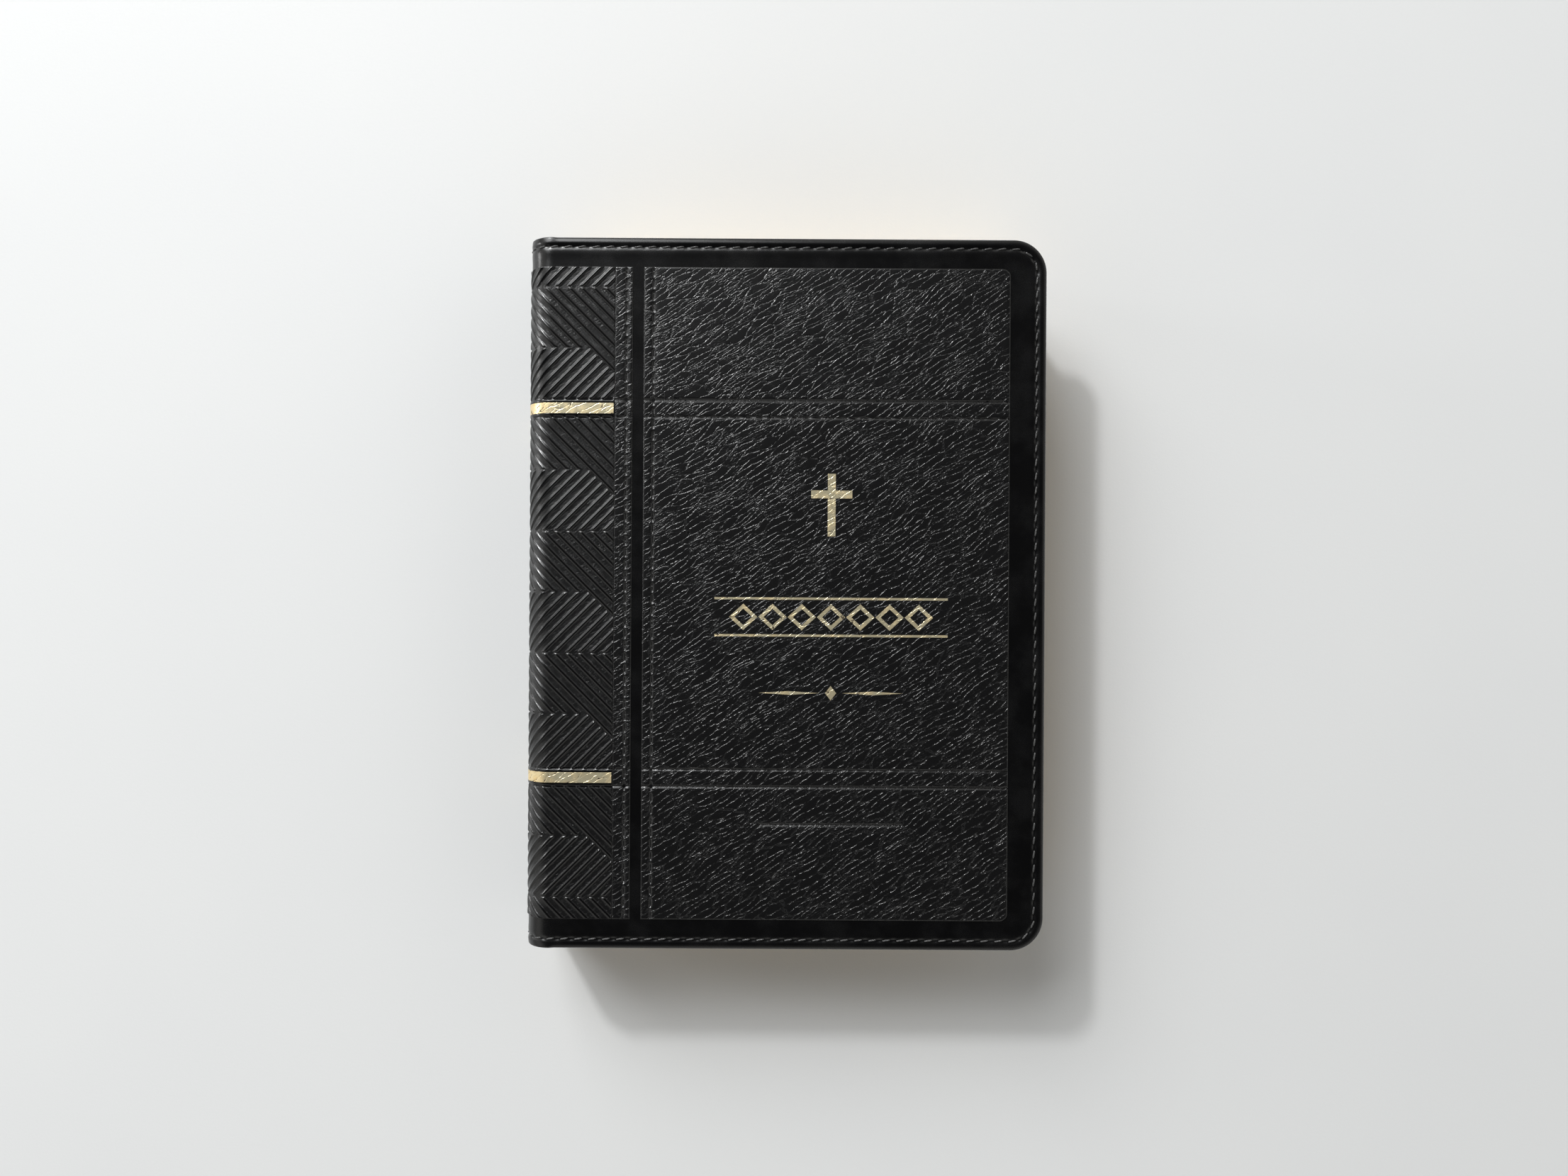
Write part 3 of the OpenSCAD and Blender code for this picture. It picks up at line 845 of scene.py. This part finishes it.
def embossedPiece(name, side, node, lineFromGroove, cornerR=0.0, ruled=False):
    low, high = extent(node)
    uLow, uHigh, vHigh = coverU(low[0]), coverU(high[0]), high[1]
    strip = cornerR == 0
    lineU = uHigh - lineFromGroove if strip else uLow + lineFromGroove
    bandEdges = (-ribs["bandHalf"], ribs["bandHalf"])
    bandLines = [sign * (ribs["bandV"] + edge) for sign in (-1, 1) for edge in bandEdges]
    bandLines += [panel["ruleV"]] if ruled else []
    columns = dense(uLow, uHigh, panel["columnStep"], [lineU])
    u, t = np.meshgrid(columns, dense(-vHigh, vHigh, panel["rowStep"], bandLines))
    pastCorner = np.clip(u - (uHigh - cornerR), 0, cornerR)
    reach = vHigh - cornerR + np.sqrt(cornerR ** 2 - pastCorner ** 2)
    v = t * reach / vHigh
    toEnd = np.minimum(vHigh - np.abs(v), uHigh - u)
    inCorner = (pastCorner > 0) & (np.abs(v) > vHigh - cornerR)
    fromCentre = np.hypot(pastCorner, np.maximum(np.abs(v) - vHigh + cornerR, 0))
    toEnd = np.where(inCorner, cornerR - fromCentre, toEnd)
    closed = roundedEdge(np.minimum(toEnd, 99 if strip else u - uLow), panel["edge"])
    if strip:
        closed = closed * closedEnd(u - uLow)
    ruleU = coverU((extent("foil_divider")[0][0] + extent("foil_divider")[1][0]) / 2) if ruled else None
    depth = panelDepth(u, v, lineU, ruleU)
    shape = Shape()
    shape.grid(*wrap(u, v, closedDepth(depth, closed)))
    piece = shape.make(name, [leatherGrained], side["toBack"])
    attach(piece, side["cover"])
    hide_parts(node if not side["toBack"] else node.replace("front", "back"))


for side in sides:
    embossedPiece(side["name"] + "_strip", side, "front_grain_strip", panel["stripLine"])
    embossedPiece(
        side["name"] + "_panel", side, "front_grain_panel", panel["panelLine"], panel["cornerR"],
        ruled=not side["toBack"],
    )
print("grained panels made")

foilSheet = {
    "over": 0.025,  # how far the foil stands over the leather under it
    "edgeDrop": 0.06,
    "sharp": 35,
    "crossArm": 1.2,  # half the width of an arm
    "step": 0.6,
}


def foilBar(name, side, low, high, node):
    shape = Shape()
    columns = np.linspace(low, high, round((high - low) / foilSheet["step"]))
    bar = ribs["barHalf"]
    inset = bar - ribs["barInset"]
    across = np.array([-bar, -bar, -inset, -bar / 2, 0, bar / 2, inset, bar, bar])
    for sign in (-1, 1):
        u, v = np.meshgrid(columns, across)
        depth = ribDepth(u, v + sign * ribs["bandV"]) - foilSheet["over"]
        depth[[0, -1]] += foilSheet["edgeDrop"]
        points, sheet = wrap(u, v + sign * ribs["bandV"], depth)
        shape.grid(points, sheet)
    piece = shape.make(name, [foil], side["toBack"], foilSheet["sharp"])
    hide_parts(node)
    return piece


for side in sides:
    barEnd = ribs["endU"] - ribs["barGap"]
    name = side["name"]
    bendAtCover(foilBar(name + "_bars", side, seamU, barEnd, name + "_foil_bars"), side)
    bendAtSpine(foilBar(name + "_spine_bars", side, 0, seamU, "spine_foil_bars"), side)


# A four-sided patch that follows the padded leather, with its border turned down into it.
def addPatch(shape, corners):
    a, b, c, d = [np.array(corner, float) for corner in corners]
    columns = max(2, round(max(np.linalg.norm(b - a), np.linalg.norm(c - d)) / foilSheet["step"]))
    rows = max(2, round(max(np.linalg.norm(d - a), np.linalg.norm(c - b)) / foilSheet["step"]))
    s = np.concatenate([[0], np.linspace(0, 1, columns + 1), [1]])[None, :, None]
    t = np.concatenate([[0], np.linspace(0, 1, rows + 1), [1]])[:, None, None]
    flat = (1 - t) * ((1 - s) * a + s * b) + t * ((1 - s) * d + s * c)
    u, v = flat[..., 0], flat[..., 1]
    depth = panel["top"] + panel["swellShare"] * slowSwell(u, v) - foilSheet["over"]
    depth[[0, -1]] += foilSheet["edgeDrop"]
    depth[1:-1, [0, -1]] += foilSheet["edgeDrop"]
    shape.grid(*wrap(u, v, depth))


def addRect(shape, uLow, uHigh, vLow, vHigh):
    addPatch(shape, [(uLow, vLow), (uHigh, vLow), (uHigh, vHigh), (uLow, vHigh)])


def ornament(node):
    low, high = extent(node)
    return coverU((low[0] + high[0]) / 2), (low[1] + high[1]) / 2, high - low


def finishOrnament(shape, name, node):
    piece = shape.make(name, [foil], False, foilSheet["sharp"])
    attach(piece, "front_cover")
    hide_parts(node)


def makeCross():
    u, v, size = ornament("foil_cross")
    arm = foilSheet["crossArm"]
    armV = v + size[1] / 2 - size[0] / 2
    shape = Shape()
    addRect(shape, u - arm, u + arm, v - size[1] / 2, v + size[1] / 2)
    addRect(shape, u - size[0] / 2, u - arm, armV - arm, armV + arm)
    addRect(shape, u + arm, u + size[0] / 2, armV - arm, armV + arm)
    finishOrnament(shape, "cross", "foil_cross")


lozenges = {"count": 7, "wide": 8.6, "line": 1.1, "rule": 0.7, "gap": 1.6}


def diamond(u, v, wide, tall):
    return [(u - wide / 2, v), (u, v - tall / 2), (u + wide / 2, v), (u, v + tall / 2)]


def makeLozenges():
    u, v, size = ornament("foil_lozenges")
    tall = size[1] - 2 * lozenges["gap"] - lozenges["rule"]
    wide = lozenges["wide"]
    pitch = wide + lozenges["line"] / 4
    shrink = lozenges["line"] * math.hypot(wide, tall)
    shape = Shape()
    for number in range(lozenges["count"]):
        middle = u + (number - (lozenges["count"] - 1) / 2) * pitch
        outer = diamond(middle, v, wide, tall)
        inner = diamond(middle, v, wide - shrink / tall * 2, tall - shrink / wide * 2)
        for i in range(4):
            j = (i + 1) % 4
            addPatch(shape, [outer[i], outer[j], inner[j], inner[i]])
    for sign in (-1, 1):
        ruleV = v + sign * (tall / 2 + lozenges["gap"])
        rule = lozenges["rule"] / 2
        addRect(shape, u - size[0] / 2, u + size[0] / 2, ruleV - rule, ruleV + rule)
    finishOrnament(shape, "lozenges", "foil_lozenges")


def makeDivider():
    u, v, size = ornament("foil_divider")
    centre = size[1] / 1.3
    shape = Shape()
    addPatch(shape, diamond(u, v, centre, size[1]))
    for sign in (-1, 1):
        middle = u + sign * (size[0] / 4 + centre / 2)
        addPatch(shape, diamond(middle, v, size[0] / 2 - centre, 1.12))
    finishOrnament(shape, "divider", "foil_divider")


makeCross()
makeLozenges()
makeDivider()
print("foil made")


# Place and direction of the stitching line, as far as the middle of the fore-edge.
def stitchLine(along):
    turned = np.clip((along - cornerU) / bendR, 0, math.pi / 2)
    onFore = np.maximum(along - cornerU - bendLength, 0)
    u = np.minimum(along, cornerU) + bendR * np.sin(turned)
    v = cornerV + bendR * np.cos(turned) - onFore
    return u, v, turned


# Each stitch is its own twisted, slanted thread.
def addStitches(shape, low, high):
    centres = (np.arange(stitchCount) + 0.5) * stitchPitch
    centres = centres[(centres >= low) & (centres < high)]
    t = np.linspace(-1, 1, 15)[None, :, None]
    around = np.linspace(0, math.pi, 9)[None, None, :]
    twist = 1 + stitch["twistDepth"] * np.cos(2 * around - 2 * stitch["twists"] * t)
    taper = (1 - t ** 4) ** 0.5 * twist
    local = t * stitch["length"] / 2 + 0 * around
    cross = stitch["width"] / 2 * taper * np.cos(around)
    rise = stitch["rise"] * taper * np.sin(around) - stitch["dip"] * t ** 6 - stitch["sunk"]
    u, v, turned = [part[:, None, None] for part in stitchLine(centres)]
    slant = math.radians(stitch["slant"]) * np.where(turned < math.pi / 4, 1, -1)
    for sign in (1, -1):
        du, dv = np.cos(sign * slant - turned), np.sin(sign * slant - turned)
        points, sheet = wrap(
            u + du * local - dv * cross,
            sign * (v + dv * local + du * cross),
            leatherDepth + skin["stitchSink"] - rise,
        )
        shape.grid(points, sheet, flip=sign < 0)


def stitchRun(name, side, low, high, bend, node):
    run = Shape()
    addStitches(run, low, high)
    piece = run.make(name, [threadBlack], side["toBack"])
    bend(piece, side)
    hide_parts(node)


for side in sides:
    stitchRun(side["name"] + "_stitches", side, seamU, halfRun, bendAtCover, side["name"] + "_stitching")
    stitchRun(side["name"] + "_spine_stitches", side, 0, seamU, bendAtSpine, "spine_stitching")
print("stitching made")

pages = {
    "rim": 0.1,  # soft edge of each section
    "levels": 9,
    "ripple": 0.035,
    "firstBend": 4.0,  # how far from the fold the section next to a cover bends
    "bendStep": 1.6,
    "cornerR": 7.0,
    "nearFold": 26,  # how far the closer columns reach from the fold
    "apart": 0.012,  # half the gap between two sections
    "count": 10,
}
hingeX = roundX - (roundR - (leatherDepth + boardDepth) / 2) * half
drift = random.Random(5)


# A slab between two heights, with rounded fore-edge corners: marks are 0 on its rim, 1 on its faces.
def addLeaf(shape, columns, halfHeight, cornerR, low, high, rim, levels=1, ripple=0.0):
    xEnd = columns[-1]
    t = np.linspace(-1, 1, 11)[:, None]

    def plan(inset):
        x = columns[0] + (columns - columns[0]) * (xEnd - inset - columns[0]) / (xEnd - columns[0])
        past = np.clip(x - (xEnd - cornerR), 0, cornerR - inset)
        reach = halfHeight - cornerR + np.sqrt((cornerR - inset) ** 2 - past ** 2)
        return x, reach

    def face(height, inset, flip):
        x, reach = plan(inset)
        points = np.stack([x + 0 * t, reach * t, height + 0 * t], axis=-1)
        shape.grid(points, points, 1, flip)

    def ring(height, inset):
        x, reach = plan(inset)
        foreV = reach[-1] * t[::-1, 0]
        xs = np.concatenate([x, x[-1] + 0 * foreV[1:-1], x[::-1]])
        ys = np.concatenate([reach, foreV[1:-1], -reach[::-1]])
        zs = np.concatenate([height, height[-1] + 0 * foreV[1:-1], height[::-1]])
        return np.stack([xs, ys, zs], axis=-1)

    face(high, rim, False)
    face(low, rim, True)
    thick = high - low
    shares = [0.0] + list(np.linspace(rim / thick.max(), 1 - rim / thick.max(), levels + 1)) + [1.0]
    insets = [rim] + [drift.uniform(-ripple, ripple) for _ in shares[1:-1]] + [rim]
    rings = np.stack([ring(high - thick * share, inset) for share, inset in zip(shares, insets)])
    shape.grid(rings, rings, 0)


def leafColumns(x0, xEnd, cornerR, curl):
    fold = x0 + curl * (1 - np.cos(np.linspace(0, math.pi / 2, 7)))
    near = x0 + curl + pages["nearFold"] * np.linspace(0, 1, 20)[1:] ** 1.3
    flat = np.linspace(near[-1], xEnd - cornerR, 6)[1:]
    corner = xEnd - cornerR + cornerR * np.sin(np.linspace(0, math.pi / 2, 12))[1:]
    return np.concatenate([fold, near, flat, corner])


def makeSection(side, number, node):
    low, high = extent("lower_section_%d" % number)
    curl = (high[2] - low[2]) / 2
    columns = leafColumns(low[0], high[0], pages["cornerR"], curl)
    inFold = np.clip((low[0] + curl - columns) / curl, 0, 1)
    thick = curl * np.sqrt(1 - inFold ** 2) - pages["apart"]
    middle = (high[2] + low[2]) / 2
    shape = Shape()
    addLeaf(
        shape, columns, high[1] + drift.uniform(-0.06, 0), pages["cornerR"], middle - np.maximum(thick, 0),
        middle + np.maximum(thick, 0), pages["rim"], pages["levels"], pages["ripple"],
    )
    piece = shape.make(node + "_leaves", [gilt, pagePaper], not side["toBack"], sharpDegrees=50)
    reach = pages["firstBend"] + pages["bendStep"] * (number - 1)
    start = hingePoint(hingeX, middle, not side["toBack"])
    end = hingePoint(hingeX + reach, middle, not side["toBack"])
    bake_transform(piece)
    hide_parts(node)


for side in sides:
    stem = "lower_section_" if side["toBack"] else "upper_section_"
    for number in range(1, pages["count"] + 1):
        makeSection(side, number, stem + str(number))
print("pages made")

endpapers = {
    "thick": 0.12,
    "foldX": hingeX + 1.8,
    "cornerR": 5.0,
    "lift": 0.05,
    "inset": 0.3,  # how much smaller a flyleaf is than its place
    "curl": 0.3,
    "rim": 0.03,
    "clear": 0.02,
}


def makeFlyleaf(side):
    low, high = extent("back_flyleaf")
    inset = endpapers["inset"]
    columns = leafColumns(endpapers["foldX"], high[0] - inset, pages["cornerR"], endpapers["curl"])
    shape = Shape()
    bottom = low[2] + endpapers["clear"] + 0 * columns
    top = bottom + endpapers["thick"]
    addLeaf(shape, columns, high[1] - inset, pages["cornerR"], bottom, top, endpapers["rim"])
    piece = shape.make(side["name"] + "_flyleaf_sheet", [endpaperFace] * 2, not side["toBack"], 50)
    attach(piece, side["pages"])
    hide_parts(side["name"] + "_flyleaf")


# The pastedown covers the turned-in leather's inner edge and runs on across the hinge to the fold.
def makePastedown(side):
    low, high = extent("front_pastedown")
    columns = leafColumns(endpapers["foldX"], high[0], endpapers["cornerR"], endpapers["curl"])
    lowered = 1 - smoothStep(columns, endpapers["foldX"], roundX + 1)
    lift = endpapers["clear"] - endpapers["lift"] * lowered
    shape = Shape()
    face = low[2] + lift
    top = face + endpapers["thick"]
    addLeaf(shape, columns, high[1], endpapers["cornerR"], face, top, endpapers["rim"])
    piece = shape.make(side["name"] + "_endpaper", [endpaperFace] * 2, side["toBack"], 50)
    start = hingePoint(endpapers["foldX"], low[2], side["toBack"])
    end = hingePoint(roundX + 1, low[2], side["toBack"])
    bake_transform(piece)
    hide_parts(side["name"] + "_pastedown")


for side in sides:
    makeFlyleaf(side)
    makePastedown(side)
print("endpapers made")

# Headbands: a cord wound with two colours of silk.

headband = {"windPitch": 0.42, "windDepth": 0.07, "turns": 14, "endRound": 0.7}


def makeHeadband(node):
    low, high = extent(node)
    centre = (low + high) / 2
    radius = (high[0] - low[0]) / 2
    z = np.arange(low[2], high[2], headband["windPitch"] / 6)[:, None]
    around = np.linspace(0, 2 * math.pi, headband["turns"] * 2 + 1)[None, :]
    wound = np.abs(np.sin(math.pi * z / headband["windPitch"] + around / 2))
    ends = np.minimum(z - low[2], z[-1] - z)
    r = (radius - headband["windDepth"] * (1 - wound)) * roundedEdge(ends, headband["endRound"])
    points = np.stack([centre[0] + r * np.cos(around), centre[1] + r * np.sin(around), z + 0 * r], axis=-1)
    shape = Shape()
    shape.grid(points, points)
    piece = shape.make(node + "_roll", [headbandCloth()])
    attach(piece, "spine")
    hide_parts(node)


makeHeadband("head_band")
makeHeadband("tail_band")

# Hidden pieces that keep their frame shape.

gauzeCloth = woven("gauze", 0.9, tones["gauze"], 0.12)
linen = woven("linen_tape", 0.5, tones["linen"], 0.08)
whiteThread = woven("sewing_thread", 0.3, tones["sewing"], 0.08)
board = boardFace()
kept = {
    "front_board": board,
    "back_board": board,
    "spine_card": board,
    "spine_gauze": gauzeCloth,
    "sewing_tapes": linen,
    "sewing_thread": whiteThread,
}
for node, finish in kept.items():
    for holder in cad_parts[node].material_slots:
        holder.material = finish
print("inner pieces finished")

studio = {
    "floorSize": 16.0,
    "cameraPlace": (-0.0003, 0.0018, 0.396),
    "lens": 27.2,
    "cameraTurn": 0.35,  # degrees
    "lights": (  # name, place, size, power and colour
        ("key", (-1.35, 2.15, 1.95), 2.1, 86, (0.98, 0.995, 1.0)),
        ("glint", (-1.1, 1.75, 1.7), 0.2, 25, (1.0, 1.0, 1.0)),
        ("side", (-1.6, 0.35, 0.3), 0.3, 3.5, (1.0, 1.0, 1.0)),
    ),
    "far": (0.36, 0.355, 0.345),
    "walls": (0.5, 0.49, 0.465),
    "bright": (0.75, 0.74, 0.71),
    "ceiling": (0.006, 0.006, 0.0065),
    "farPlace": 0.02,  # heights of the world's tones, from the horizon up
    "ramp": ((0.2, "walls"), (0.4, "bright"), (0.56, "bright"), (0.78, "ceiling")),
    "sensor": 36,
    "clipStart": 0.01,
}


def areaLight(name, place, size, power, colour):
    light = bpy.data.lights.new(name, "AREA")
    light.size = size
    light.energy = power
    light.color = colour
    lamp = bpy.data.objects.new(name, light)
    lamp.location = place
    lamp.rotation_euler = (-Vector(place)).to_track_quat("-Z", "Y").to_euler()
    bpy.context.scene.collection.objects.link(lamp)


bpy.ops.mesh.primitive_plane_add(size=studio["floorSize"])
floor = bpy.context.object
floor.name = "table"
floor.data.materials.append(floorFinish())
for light in studio["lights"]:
    areaLight(*light)

# Pale walls, bright high up, under a dark ceiling, so that black leather stays black from above.
world = bpy.data.worlds.new("studio")
world.use_nodes = True
tree = world.node_tree
direction = tree.nodes.new("ShaderNodeTexCoord")
split = tree.nodes.new("ShaderNodeSeparateXYZ")
fade = tree.nodes.new("ShaderNodeValToRGB")
for place, tone in studio["ramp"]:
    fade.color_ramp.elements.new(place).color = (*studio[tone], 1)
fade.color_ramp.elements[0].color = (*studio["far"], 1)
fade.color_ramp.elements[0].position = studio["farPlace"]
fade.color_ramp.elements[-1].color = (*studio["ceiling"], 1)
tree.links.new(direction.outputs["Generated"], split.inputs[0])
tree.links.new(split.outputs["Z"], fade.inputs[0])
tree.links.new(fade.outputs[0], tree.nodes["Background"].inputs["Color"])
bpy.context.scene.world = world
bpy.context.scene.view_settings.view_transform = "Standard"

camera = bpy.data.objects.new("camera", bpy.data.cameras.new("camera"))
camera.location = studio["cameraPlace"]
camera.rotation_euler = (0, 0, math.radians(studio["cameraTurn"]))
camera.data.lens = studio["lens"]
camera.data.sensor_width = studio["sensor"]
camera.data.clip_start = studio["clipStart"]
bpy.context.scene.collection.objects.link(camera)
bpy.context.scene.camera = camera

print("scene made")
